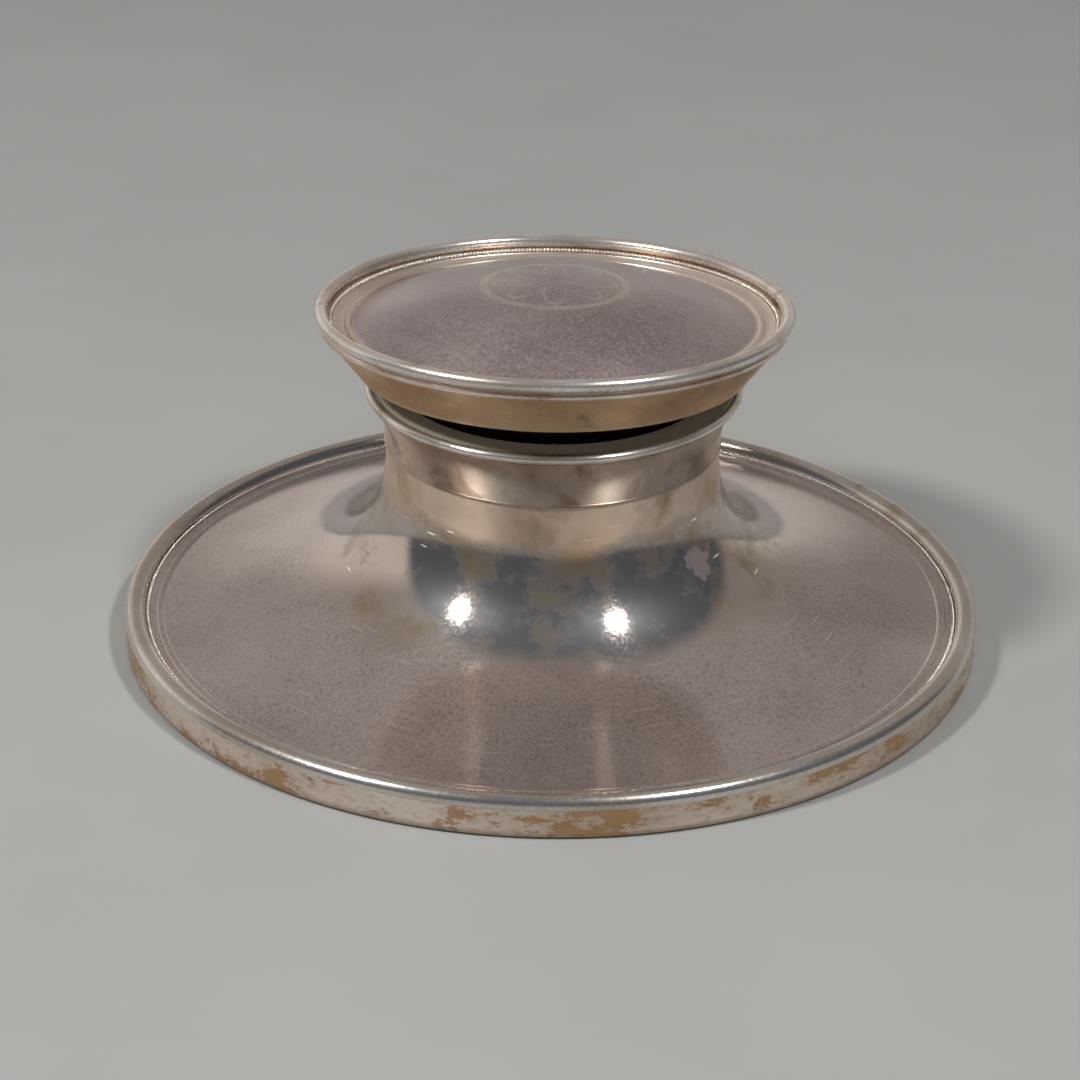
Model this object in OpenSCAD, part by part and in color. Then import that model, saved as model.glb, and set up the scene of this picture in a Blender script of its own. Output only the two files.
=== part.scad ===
// Capstan inkwell: a wide loaded saucer base, a spun neck that holds a glass ink pot,
// and a flared lid with a low dome, hinged at the back. Millimetres, +Z up, front at -Y.
// The origin is under the middle of the base. The lid is drawn standing slightly ajar.

/* [Base] */
// Diameter of the base over its side wall
base_d = 150; // [140:1:165]
// Height of the top of the side wall above the table
side_h = 5.2; // [4.8:0.1:6.5]
// Thickness of the side wall
side_t = 1.1; // [0.8:0.1:1.4]
// Height of the side wall's lower edge above the table
side_lift = 0.4; // [0.2:0.1:0.5]
// Thickness of the spun sheet of the base and neck
sheet_t = 1; // [0.8:0.1:1.1]
// Width of the half-round moulding along the base's edge
edge_w = 3.5; // [3:0.1:4.2]
// Height of the straight part of that moulding
edge_flat = 0.35; // [0.2:0.05:0.6]
// Width of the milled wire inside the moulding
base_wire_w = 0.8; // [0.6:0.1:1]
// Width of the level border inside the moulding
border_w = 3.3; // [2.8:0.1:4]
// Height of the rounded ridge along the border's inner edge
border_ridge_h = 0.35; // [0.2:0.05:0.45]
// How far the field runs straight before it sweeps up
field_run = 31; // [28:1:33]
// Rise of the field over that run
field_rise = 5.2; // [4.6:0.2:7]
// Thickness of the wooden board that closes the base
board_t = 2.4; // [2:0.1:2.6]
// Thickness of the baize under the board
baize_t = 0.6; // [0.5:0.1:0.8]
// How far the baize stops short of the board's edge
baize_inset = 0.5; // [0.2:0.1:2]
// Height of the loading inside the neck
loading_z = 24; // [20:1:28]

/* [Neck and mouth] */
// Outer diameter of the neck at its waist
waist_d = 57.6; // [56:0.2:60]
// Height of the waist
waist_z = 36.2; // [34:0.2:38]
// How far below the waist the flare leaves the vertical
flare_drop = 17; // [15:0.5:19]
// Height of the neck's top edge
neck_z = 45.3; // [44:0.1:48]
// Thickness of the collar around the top of the neck
collar_t = 0.3; // [0.2:0.05:0.5]
// Outer diameter of the bead round the mouth
mouth_d = 65.2; // [64:0.2:67]
// Radius of that bead
bead_r = 0.85; // [0.7:0.05:0.9]
// Width from the bead's outside in to the edge of the opening
ledge_w = 5.8; // [5:0.1:6.4]
// Slope of the ledge inside the bead, as its rise to the opening
ledge_rise = 0.4; // [0.2:0.05:0.5]

/* [Ink pot] */
// Thickness of the lining cup in the neck
cup_t = 0.8; // [0.6:0.1:1]
// Gap between the lining cup and the waist
cup_gap = 0.2; // [0.15:0.05:0.4]
// Gap between the glass lip and the mouth
liner_fit = 0.5; // [0.3:0.1:0.8]
// How far the glass lip stands out from the pot
lip_out = 1.3; // [1:0.1:1.8]
// Height of the glass lip
lip_h = 2.2; // [1.8:0.1:3]
// Depth of the lip's top below the mouth
lip_sink = 0.9; // [0.6:0.1:1.5]
// Wall of the glass pot
glass_t = 2.8; // [2:0.1:3.4]
// Floor of the glass pot
glass_floor = 4; // [3:0.5:6]
// How far the pot's throat closes in below the lip
throat_in = 1.6; // [1:0.1:2.5]

/* [Lid] */
// Diameter of the lid over its rim wire
lid_d = 82.2; // [80:0.2:86]
// Thickness of the lid's sheet
lid_t = 0.7; // [0.6:0.05:0.9]
// Clearance between the closed lid and the mouth
lid_gap = 0.25; // [0.2:0.05:0.4]
// How far the foot of the lid's wall stands out from the mouth
foot_out = 1; // [0.7:0.1:1.3]
// Height of the lid's spreading wall
flare_h = 7.45; // [6.8:0.05:8.2]
// How far the top of that wall lies inside the rim
flare_in = 1.7; // [1.5:0.1:2]
// Height of the ridge wire above the wall
ridge_h = 1.6; // [1.4:0.1:1.8]
// How far the ridge wire lies inside the rim
ridge_in = 0.8; // [0.6:0.1:1]
// Radius of the rim wire
rim_r = 1.15; // [1:0.05:1.3]
// Radius of the milled wire inside the rim
lid_wire_r = 0.4; // [0.3:0.05:0.45]
// Width of the channel between rim and dome
channel_w = 4.5; // [4.2:0.1:4.8]
// Width of the bead along the dome's edge
edge_bead_w = 1.2; // [1:0.1:1.4]
// How far the dome's edge lies below the middle of the rim wire
dome_sink = 1.95; // [1.75:0.05:2.15]
// Rise of the dome above its edge
dome_rise = 7; // [5.5:0.1:8.5]
// Thickness of the lining plate under the lid
lining_t = 0.7; // [0.5:0.1:0.8]
// Height that the lining plate is raised in the middle
lining_rise = 7.05; // [6.5:0.05:7.2]
// Angle at which the lid stands ajar, in degrees
lid_ajar = 3.8; // [0:0.1:8]

/* [Hinge] */
// Radius of the knuckles
knuckle_r = 1.6; // [1.4:0.05:1.8]
// Radius of the pin
pin_r = 0.6; // [0.5:0.05:0.7]
// Running clearance of the middle knuckle on the pin
pin_fit = 0.05; // [0.03:0.01:0.08]
// Length of the middle knuckle
knuckle_mid = 5.6; // [5:0.1:7]
// Length of each outer knuckle
knuckle_end = 5.1; // [4:0.1:6]
// Gap between two knuckles
knuckle_gap = 0.1; // [0.05:0.05:0.3]
// Gap between the knuckles and the lid's wall
hinge_air = 0.45; // [0.35:0.05:0.8]
// Depth of the pin's middle below the mouth
hinge_drop = 0.4; // [0.2:0.05:0.6]
// Clearance of each bearer round the other leaf's knuckles
bearer_air = 0.25; // [0.2:0.05:0.4]
// Thickness of the bearers
bearer_t = 1.3; // [1:0.1:1.6]
// Height of the body's bearer
bearer_h = 2.6; // [2:0.1:3.5]

/* [Hidden] */
$fn = 120;
// Margin by which a cutter runs past what it cuts
past = 1;

base_r = base_d / 2;
side_in_r = base_r - side_t;
edge_in_r = base_r - edge_w;
board_z = baize_t + board_t;
waist_r = waist_d / 2;
mouth_r = mouth_d / 2;
neck_r = mouth_r - bead_r;
cup_r = waist_r - sheet_t - cup_gap;
cup_in_r = cup_r - cup_t;
mouth_in_r = mouth_r - ledge_w;
mouth_z = neck_z + 2 * bead_r;
cup_floor_z = board_z + cup_t;

field_r = edge_in_r - border_w;
// Width of the border's rounded ridge
border_ridge_w = 1.6;
// How far the body's leaf reaches past the pin's middle
leaf_out = 0.6;
// How far the lid's leaf stands out from the lid's wall
lid_leaf_out = 0.8;
// How far the body's leaf reaches up beside the knuckles
leaf_bite = 0.9;
// How deep the rim wire is bedded in the ridge wire
rim_bed = 0.1;
// Height of the dome plate's edge inside the ridge wire
plate_edge_h = 1.05;
// How far that edge lies below the top of the ridge wire
plate_step = 0.45;
// How deep the lid's milled wire is bedded in the plate and the ridge wire
milled_bed = 0.1;
// Width of the groove between the dome and the bead along its edge
dome_groove_w = 0.4;
// How far the middle of that bead lies below the dome's edge
edge_bead_sink = 0.25;
// How far the channel hangs below a straight line
channel_sag = 0.25;
// How far short of the dome's edge its underside ends, in degrees
under_stop = 1.5;
// Where on the mouth's bead the leaf's cut begins, in degrees from level
leaf_cut_a = -60;

// The pot passes through both the mouth and the cup
lip_r = min(mouth_in_r, cup_in_r) - liner_fit;
pot_r = lip_r - lip_out;
pot_in_r = pot_r - glass_t;
throat_r = pot_in_r - throat_in;
lip_z = mouth_z - lip_sink;

lid_r = lid_d / 2;
lid_z = mouth_z + lid_gap;
foot_r = mouth_r + foot_out;
flare_r = lid_r - flare_in;
ridge_z = lid_z + flare_h;
ridge_top_z = ridge_z + ridge_h;
rim_mid_r = lid_r - rim_r;
rim_z = ridge_top_z + rim_r - rim_bed;
// Spread of the lid's wall for each millimetre of its height, and its thickness measured level
wall_slope = (flare_r - foot_r) / flare_h;
wall_lean = sqrt(1 + wall_slope * wall_slope);
wall_w = lid_t * wall_lean;
ridge_in_r = flare_r - wall_w;
seat_in_r = neck_r - bead_r;
seat_top_z = lid_z + lid_t;
dome_r = rim_mid_r - rim_r - channel_w;
dome_z = rim_z - dome_sink;
plate_edge_z = ridge_top_z - plate_step;

// The pin's middle keeps its distance square to the lid's wall
hinge_z = mouth_z - hinge_drop;
hinge_y = foot_r + (hinge_z - lid_z) * wall_slope + (knuckle_r + hinge_air) * wall_lean;
// Underside of the lid's leaf, clear above the body's knuckles
leaf_z = hinge_z + knuckle_r + bearer_air;
leaf_y = foot_r + (leaf_z + bearer_t - lid_z) * wall_slope + lid_leaf_out;
hinge_l = knuckle_mid + 2 * (knuckle_end + knuckle_gap);

// Points of a cubic curve through its four handles
function curve(p, n) = [
    for (i = [0:n]) let (t = i / n, s = 1 - t)
        pow(s, 3) * p[0] + 3 * s * s * t * p[1] + 3 * s * t * t * p[2] + pow(t, 3) * p[3]
];

// Points of an arc round c, from angle a to angle b
function arc(c, r, a, b, n) = [
    for (i = [0:n]) let (w = a + (b - a) * i / n) [c[0] + r * cos(w), c[1] + r * sin(w)]
];

// The same line moved sideways by d, to the left of its direction
function beside(pts, d) = [
    for (i = [0:len(pts) - 1])
        let (v = pts[min(i + 1, len(pts) - 1)] - pts[max(i - 1, 0)])
            pts[i] + d * [-v[1], v[0]] / norm(v)
];

function all_but_first(pts) = [for (i = [1:len(pts) - 1]) pts[i]];
function all_but_last(pts) = [for (i = [0:len(pts) - 2]) pts[i]];
function backwards(pts) = [for (i = [len(pts) - 1:-1:0]) pts[i]];

// Outside of the base's field and flare, from the rim in to the waist
field_line = curve([
    [field_r, side_h],
    [field_r - field_run, side_h + field_rise],
    [waist_r, waist_z - flare_drop],
    [waist_r, waist_z]
], 28);

// Outside of the neck from the waist up to the mouth
neck_line = curve([
    [waist_r, waist_z],
    [waist_r, waist_z + 0.42 * (neck_z - waist_z)],
    [waist_r + 0.25 * (neck_r - waist_r), waist_z + 0.78 * (neck_z - waist_z)],
    [neck_r, neck_z]
], 12);

// Level width of a sheet at the neck's top edge, for each millimetre of its thickness
neck_end = neck_line[len(neck_line) - 1] - neck_line[len(neck_line) - 2];
neck_lean = norm(neck_end) / neck_end[1];

shell_line = concat(field_line, all_but_first(neck_line));
// Radius of the arc that makes the border's rounded ridge
ridge_arc_r = (pow(border_ridge_w / 2, 2) + pow(border_ridge_h, 2)) / (2 * border_ridge_h);
ridge_arc_a = asin(border_ridge_w / 2 / ridge_arc_r);
border_ridge = arc(
    [field_r + border_ridge_w / 2, side_h + border_ridge_h - ridge_arc_r],
    ridge_arc_r, 90 - ridge_arc_a, 90 + ridge_arc_a, 8
);
// Inside of the sheet, without its two ends, which are cut square
shell_inside = [for (p = all_but_first(beside(shell_line, sheet_t))) if (p[1] < neck_z - 0.1) p];
loading_line = [for (p = shell_inside) if (p[1] < loading_z) p];

// Top of the dome plate, from its middle out over the bead at its edge and through the channel
dome_ball_r = (dome_r * dome_r + dome_rise * dome_rise) / (2 * dome_rise);
dome_ball_z = dome_z + dome_rise - dome_ball_r;
dome_edge_a = asin(dome_r / dome_ball_r);
edge_bead = [dome_r + dome_groove_w + edge_bead_w / 2, dome_z - edge_bead_sink];
bead_out_r = edge_bead[0] + edge_bead_w / 2;
// The milled wire lies on a level strip between the channel and the ridge wire
channel_out_r = ridge_in_r - 2 * lid_wire_r + milled_bed;
dome_line = concat(
    arc([0, dome_ball_z], dome_ball_r, 90, 90 - dome_edge_a, 16),
    arc(edge_bead, edge_bead_w / 2, 180, 0, 10),
    all_but_first(curve([
        [bead_out_r, edge_bead[1]],
        [bead_out_r + (channel_out_r - bead_out_r) / 3, edge_bead[1] - channel_sag],
        [channel_out_r, plate_edge_z - channel_sag],
        [channel_out_r, plate_edge_z]
    ], 6)),
    [[ridge_in_r, plate_edge_z]]
);
dome_under = arc([0, dome_ball_z], dome_ball_r - lid_t, 90 - dome_edge_a + under_stop, 90, 14);

// A solid turned from points of radius and height
module turned(pts) {
    rotate_extrude() polygon(pts);
}

// A tube between two heights
module tube(r_out, r_in, z0, z1) {
    turned([[r_in, z0], [r_out, z0], [r_out, z1], [r_in, z1]]);
}

// A half-round wire laid on a flat, with short straight sides
module half_round(r_in, w, flat, z) {
    turned(concat([[r_in, z]], [[r_in + w, z]], arc([r_in + w / 2, z + flat], w / 2, 0, 180, 24)));
}

// Turns a closed lid's piece up to where the lid stands
module ajar() {
    translate([0, hinge_y, hinge_z]) rotate([-lid_ajar, 0, 0]) translate([0, -hinge_y, -hinge_z])
        children();
}

// A bar along the hinge's axis between two places
module hinge_bar(r, x0, x1) {
    translate([x0, hinge_y, hinge_z]) rotate([0, 90, 0]) cylinder(r = r, h = x1 - x0);
}

module knuckle(x0, x1, bore_r) {
    difference() {
        hinge_bar(knuckle_r, x0, x1);
        hinge_bar(bore_r, x0 - past, x1 + past);
    }
}

module baize_pad() {
    color("darkolivegreen") cylinder(r = side_in_r - baize_inset, h = baize_t);
}

module base_board() {
    color("saddlebrown") translate([0, 0, baize_t]) cylinder(r = side_in_r, h = board_t);
}

// Plaster that gives the base its weight, under the sheet and round the cup
module base_loading() {
    color("gainsboro") turned(concat(
        [[cup_r, board_z], [side_in_r, board_z], [side_in_r, side_h - sheet_t]],
        [[field_r, side_h - sheet_t]],
        loading_line,
        [[cup_r, loading_line[len(loading_line) - 1][1]]]
    ));
}

module base_side_wall() {
    color("rosybrown") tube(base_r, side_in_r, side_lift, side_h);
}

module body_shell() {
    color("silver") turned(concat(
        [[side_in_r, side_h]],
        all_but_last(border_ridge),
        shell_line,
        [[neck_r - neck_lean * sheet_t, neck_z]],
        backwards(shell_inside),
        [[field_r, side_h - sheet_t], [side_in_r, side_h - sheet_t]]
    ));
}

module base_edge_moulding() {
    color("lightsteelblue") half_round(edge_in_r, edge_w, edge_flat, side_h);
}

module base_milled_wire() {
    color("whitesmoke") half_round(edge_in_r - base_wire_w, base_wire_w, 0, side_h);
}

// Band soldered round the top of the neck, following its outline
module neck_collar() {
    outside = beside(neck_line, -collar_t);
    color("tan") turned(concat(
        neck_line,
        [[neck_r + neck_lean * collar_t, neck_z]],
        backwards(all_but_last(outside))
    ));
}

// Ring with a bead outside and a sloped ledge inside, on top of the neck
module mouth_ring_solid() {
    bead = [neck_r, neck_z + bead_r];
    groove_z = mouth_z - bead_r * 0.55;
    turned(concat(
        [[mouth_in_r, neck_z], [neck_r, neck_z]],
        arc(bead, bead_r, -90, 125, 20),
        [[neck_r - bead_r - 0.15, groove_z], [neck_r - bead_r - 0.5, groove_z]],
        [[mouth_in_r + 0.35, groove_z + ledge_rise], [mouth_in_r, groove_z + ledge_rise - 0.25]]
    ));
}

module mouth_ring() {
    color("silver") mouth_ring_solid();
}

module well_cup() {
    color("goldenrod") turned([
        [0, board_z], [cup_r, board_z], [cup_r, neck_z],
        [cup_in_r, neck_z], [cup_in_r, cup_floor_z], [0, cup_floor_z]
    ]);
}

// Leaf under the mouth's bead that carries the two outer knuckles
module body_hinge_bearer() {
    color("darkgray") difference() {
        translate([-hinge_l / 2, 0, hinge_z - knuckle_r - bearer_h + leaf_bite])
            cube([hinge_l, hinge_y + leaf_out, bearer_h]);
        turned(concat(
            [[0, waist_z]],
            all_but_last(beside(neck_line, -collar_t)),
            [[neck_r + neck_lean * collar_t, neck_z]],
            arc([neck_r, neck_z + bead_r], bead_r, leaf_cut_a, 90, 12),
            [[0, mouth_z]]
        ));
        hinge_bar(knuckle_r, -hinge_l / 2 - past, hinge_l / 2 + past);
        hinge_bar(knuckle_r + bearer_air, -knuckle_mid / 2 - knuckle_gap, knuckle_mid / 2 + knuckle_gap);
    }
}

module hinge_knuckle_left() {
    color("silver") knuckle(-hinge_l / 2, -knuckle_mid / 2 - knuckle_gap, pin_r);
}

module hinge_knuckle_right() {
    color("silver") knuckle(knuckle_mid / 2 + knuckle_gap, hinge_l / 2, pin_r);
}

module hinge_pin() {
    color("dimgray") hinge_bar(pin_r, -hinge_l / 2, hinge_l / 2);
}

// Level ring inside the wall's foot, which closes on the mouth
module lid_seat_ring() {
    foot_in_r = foot_r - wall_w;
    color("burlywood") ajar() turned([
        [seat_in_r, lid_z], [foot_in_r, lid_z],
        [foot_in_r + wall_slope * lid_t, seat_top_z], [seat_in_r, seat_top_z]
    ]);
}

// Wall that spreads from the foot up to the rim
module lid_wall() {
    color("sienna") ajar() turned([
        [foot_r - wall_w, lid_z], [foot_r, lid_z], [flare_r, ridge_z], [ridge_in_r, ridge_z]
    ]);
}

module rim_section() {
    translate([rim_mid_r, rim_z]) circle(r = rim_r, $fn = 48);
}

// Half-round wire between the wall and the rim
module lid_ridge_wire() {
    bulge = [lid_r - ridge_in - ridge_h / 2, ridge_z + ridge_h / 2];
    color("peru") ajar() rotate_extrude() difference() {
        polygon(concat(
            [[ridge_in_r, ridge_z]],
            arc(bulge, ridge_h / 2, -90, 90, 16),
            [[ridge_in_r, ridge_top_z]]
        ));
        rim_section();
    }
}

module lid_rim_wire() {
    color("lightgray") ajar() rotate_extrude() rim_section();
}

// Low dome with a beaded edge and a hollow channel, let into the ridge wire
module lid_dome_plate() {
    color("thistle") ajar() turned(concat(
        dome_line,
        [[ridge_in_r, plate_edge_z - plate_edge_h], [dome_r + dome_groove_w, edge_bead[1] - lid_t]],
        dome_under
    ));
}

// Milled wire in the corner between the plate and the ridge wire
module lid_milled_wire() {
    middle = [ridge_in_r - lid_wire_r + milled_bed, plate_edge_z + lid_wire_r - milled_bed];
    bed_a = acos((lid_wire_r - milled_bed) / lid_wire_r);
    color("white") ajar() turned(concat(
        [[ridge_in_r, plate_edge_z]],
        arc(middle, lid_wire_r, bed_a, 270 - bed_a, 20)
    ));
}

// Plate that closes the lid from below, raised in the middle over the ink pot
module lid_lining() {
    slant_w = 0.6;
    flange_r = foot_r - wall_w + wall_slope * lid_t;
    bend_r = seat_in_r - 0.8;
    top_r = mouth_in_r + 0.4;
    top_z = seat_top_z + lining_rise;
    color("khaki") ajar() turned([
        [0, top_z], [top_r, top_z], [bend_r, seat_top_z], [flange_r, seat_top_z],
        [flange_r, seat_top_z + lining_t], [bend_r + slant_w, seat_top_z + lining_t],
        [top_r + slant_w, top_z + lining_t], [0, top_z + lining_t]
    ]);
}

// Leaf on the lid's wall, with a web that carries the middle knuckle
module lid_hinge_bearer() {
    color("darkgray") ajar() difference() {
        union() {
            translate([-hinge_l / 2, 0, leaf_z]) cube([hinge_l, leaf_y, bearer_t]);
            translate([-knuckle_mid / 2, 0, lid_z])
                cube([knuckle_mid, leaf_y, leaf_z + bearer_t - lid_z]);
        }
        turned([[0, lid_z - past], [foot_r - past * wall_slope, lid_z - past], [flare_r, ridge_z], [0, ridge_z]]);
        hinge_bar(knuckle_r, -knuckle_mid / 2 - past, knuckle_mid / 2 + past);
    }
}

module hinge_knuckle_middle() {
    color("silver") ajar() knuckle(-knuckle_mid / 2, knuckle_mid / 2, pin_r + pin_fit);
}

// Pressed glass pot that stands in the cup and lifts out
module glass_ink_pot() {
    lip_low = lip_z - lip_h;
    color("lightcyan", 0.5) turned(concat(
        [[0, cup_floor_z], [pot_r - 1, cup_floor_z], [pot_r, cup_floor_z + 1]],
        [[pot_r, lip_low - lip_out], [lip_r, lip_low]],
        arc([lip_r - 0.8, lip_z - 0.8], 0.8, 0, 90, 5),
        arc([throat_r + 0.9, lip_z - 0.9], 0.9, 90, 180, 5),
        [[throat_r, lip_low], [pot_in_r, lip_low - 4]],
        arc([pot_in_r - 3, cup_floor_z + glass_floor + 3], 3, 0, -90, 8),
        [[0, cup_floor_z + glass_floor]]
    ));
}

baize_pad();
base_board();
base_loading();
base_side_wall();
body_shell();
base_edge_moulding();
base_milled_wire();
neck_collar();
mouth_ring();
well_cup();
body_hinge_bearer();
hinge_knuckle_left();
hinge_knuckle_right();
hinge_pin();
lid_seat_ring();
lid_wall();
lid_ridge_wire();
lid_rim_wire();
lid_dome_plate();
lid_milled_wire();
lid_lining();
lid_hinge_bearer();
hinge_knuckle_middle();
glass_ink_pot();
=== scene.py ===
import math

import bmesh
import bpy
from mathutils import Matrix, Vector


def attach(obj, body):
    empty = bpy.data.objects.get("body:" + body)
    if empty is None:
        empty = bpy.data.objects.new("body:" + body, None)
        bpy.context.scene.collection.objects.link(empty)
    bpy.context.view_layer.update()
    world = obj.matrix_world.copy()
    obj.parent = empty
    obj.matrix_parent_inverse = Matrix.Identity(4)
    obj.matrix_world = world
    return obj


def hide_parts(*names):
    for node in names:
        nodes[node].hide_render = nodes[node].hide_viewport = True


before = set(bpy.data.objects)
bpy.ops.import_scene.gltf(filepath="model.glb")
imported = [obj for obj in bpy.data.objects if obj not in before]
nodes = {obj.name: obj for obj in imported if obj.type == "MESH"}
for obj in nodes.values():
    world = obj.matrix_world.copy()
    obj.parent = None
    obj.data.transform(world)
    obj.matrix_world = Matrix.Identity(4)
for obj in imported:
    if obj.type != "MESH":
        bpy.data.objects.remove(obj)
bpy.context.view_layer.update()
print("frame loaded:", len(nodes), "solids")


def toLinear(hexColour):
    # sRGB hex to the linear colour that a shader socket takes.
    parts = [int(hexColour[i:i + 2], 16) / 255 for i in (1, 3, 5)]
    return [c / 12.92 if c <= 0.04045 else ((c + 0.055) / 1.055) ** 2.4 for c in parts] + [1]


def addNode(tree, kind, inputs=None, out=0, **settings):
    # Adds a node, sets or links its inputs and gives back one of its outputs.
    node = tree.nodes.new(kind)
    for key, value in settings.items():
        setattr(node, key, value)
    for key, value in (inputs or {}).items():
        if isinstance(value, bpy.types.NodeSocket):
            tree.links.new(value, node.inputs[key])
        else:
            node.inputs[key].default_value = toLinear(value) if isinstance(value, str) else value
    return node.outputs[out] if node.outputs else node


# Camera and light, fitted to the photograph's outlines and highlights
studio = {
    "lens": 110.4, "sensor": 36, "cameraPlace": (-1.99, -525, 270.4), "pitch": 64.17, "roll": 0.707,
    "lampReach": 1.25, "lampSize": 0.16,
    "leftLamp": (-63.7, 48.2, 8.4), "rightLamp": (49.5, 55.8, 7.4),  # azimuth from the front, elevation, watts
    "fill": 4.0,  # watts of the low front lamp, which lights only what is dull
    "front": "#374350", "backLow": "#dad4ce", "backHigh": "#918a85", "seen": "#d6d6d3",
    "floor": "#a9a9a6", "floorMottle": "#a5a5a2",
}

scene = bpy.context.scene
scene.view_settings.view_transform = "Standard"

cameraData = bpy.data.cameras.new("photoCamera")
cameraData.lens = studio["lens"]
cameraData.sensor_width = studio["sensor"]
cameraData.clip_start = 0.01
camera = bpy.data.objects.new("photoCamera", cameraData)
scene.collection.objects.link(camera)
camera.matrix_world = (
    Matrix.Translation([c / 1000 for c in studio["cameraPlace"]])
    @ Matrix.Rotation(math.radians(studio["pitch"]), 4, "X")
    @ Matrix.Rotation(math.radians(studio["roll"]), 4, "Z")
)
scene.camera = camera


def addLamp(name, azimuth, elevation, watts, size=studio["lampSize"]):
    around, up = math.radians(azimuth), math.radians(elevation)
    away = Vector((math.sin(around) * math.cos(up), -math.cos(around) * math.cos(up), math.sin(up)))
    data = bpy.data.lights.new(name, "AREA")
    data.shape = "DISK"
    data.size = size
    data.energy = watts
    lamp = bpy.data.objects.new(name, data)
    scene.collection.objects.link(lamp)
    lamp.location = away * studio["lampReach"] + Vector((0, 0, 0.03))
    lamp.rotation_euler = away.to_track_quat("Z", "Y").to_euler()
    return lamp


addLamp("leftLamp", *studio["leftLamp"])
addLamp("rightLamp", *studio["rightLamp"])
addLamp("frontFill", 0, 15, studio["fill"], 0.5).visible_glossy = False

world = bpy.data.worlds.new("studioRoom")
scene.world = world
world.use_nodes = True
room = world.node_tree
room.nodes.clear()
way = addNode(room, "ShaderNodeTexCoord", out="Generated")
# A dim room in front and a pale sweep behind, which leans over the object and fades upwards and to the right
lean = addNode(room, "ShaderNodeVectorMath", {0: way, 1: (-0.2, 1, 0.3)}, "Value", operation="DOT_PRODUCT")
behind = addNode(room, "ShaderNodeMapRange", {0: lean, 1: 0.3, 2: 0.46}, interpolation_type="SMOOTHSTEP")
fade = addNode(room, "ShaderNodeVectorMath", {0: way, 1: (0.3, 0, 1)}, "Value", operation="DOT_PRODUCT")
fade = addNode(room, "ShaderNodeMapRange", {0: fade, 1: 0.05, 2: 0.4}, interpolation_type="SMOOTHSTEP")
sweep = addNode(room, "ShaderNodeMix", {0: fade, 6: studio["backLow"], 7: studio["backHigh"]}, 2, data_type="RGBA")
around = addNode(room, "ShaderNodeMix", {0: behind, 6: studio["front"], 7: sweep}, 2, data_type="RGBA")
fromCamera = addNode(room, "ShaderNodeLightPath", out="Is Camera Ray")
around = addNode(room, "ShaderNodeMix", {0: fromCamera, 6: around, 7: studio["seen"]}, 2, data_type="RGBA")
light = addNode(room, "ShaderNodeBackground", {"Color": around, "Strength": 1})
addNode(room, "ShaderNodeOutputWorld", {"Surface": light})
print("camera and light set")

floorMesh = bpy.data.meshes.new("studioFloor")
floorMesh.from_pydata([(-4, -4, 0), (4, -4, 0), (4, 4, 0), (-4, 4, 0)], [], [(0, 1, 2, 3)])
studioFloor = bpy.data.objects.new("studioFloor", floorMesh)
scene.collection.objects.link(studioFloor)


# Shapes, drawn in millimetres as on the maker's drawing
hinge = {"y": 35.692, "z": 46.6, "ajar": 3.8}
untilt = Matrix.Rotation(math.radians(hinge["ajar"]), 3, "X")  # lays the ajar lid back flat
hingePoint = Vector((0, hinge["y"], hinge["z"]))


def arc(middle, radius, start, stop, count):
    turns = [math.radians(start + (stop - start) * i / count) for i in range(count + 1)]
    return [(middle[0] + radius * math.cos(t), middle[1] + radius * math.sin(t)) for t in turns]


def curve(a, b, c, d, count):
    points = []
    for i in range(count + 1):
        t = i / count
        s = 1 - t
        points.append(tuple(s ** 3 * a[k] + 3 * s * s * t * b[k] + 3 * s * t * t * c[k] + t ** 3 * d[k]
                            for k in (0, 1)))
    return points


def beside(line, distance):
    moved = []
    for i, point in enumerate(line):
        before, after = Vector(line[max(i - 1, 0)]), Vector(line[min(i + 1, len(line) - 1)])
        along = (after - before).normalized()
        moved.append((point[0] - along.y * distance, point[1] + along.x * distance))
    return moved


def softened(profile, size, sharpest=25):
    # Rounds each sharp corner of a closed profile, as handling and polishing do.
    rounded = []
    for i, point in enumerate(profile):
        here = Vector(point)
        before, after = Vector(profile[i - 1]), Vector(profile[(i + 1) % len(profile)])
        toBefore, toAfter = before - here, after - here
        turn = math.degrees(math.pi - toBefore.angle(toAfter, math.pi))
        if turn < sharpest or here.x < 0.01:
            rounded.append(point)
            continue
        a = here + toBefore.normalized() * min(size, toBefore.length * 0.45)
        b = here + toAfter.normalized() * min(size, toAfter.length * 0.45)
        for t in (0, 0.25, 0.5, 0.75, 1):
            rounded.append(tuple(a * (1 - t) ** 2 + here * 2 * t * (1 - t) + b * t * t))
    return rounded


def finishPiece(piece, body, slotName, material, *nodeNames):
    piece.data.materials.clear()
    piece.data.materials.append(material)
    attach(piece, body)
    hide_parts(*nodeNames)
    return piece


def placed(point, onLid):
    place = Vector(point)
    if onLid:
        place = untilt.transposed() @ (place - hingePoint) + hingePoint
    return place / 1000


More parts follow.
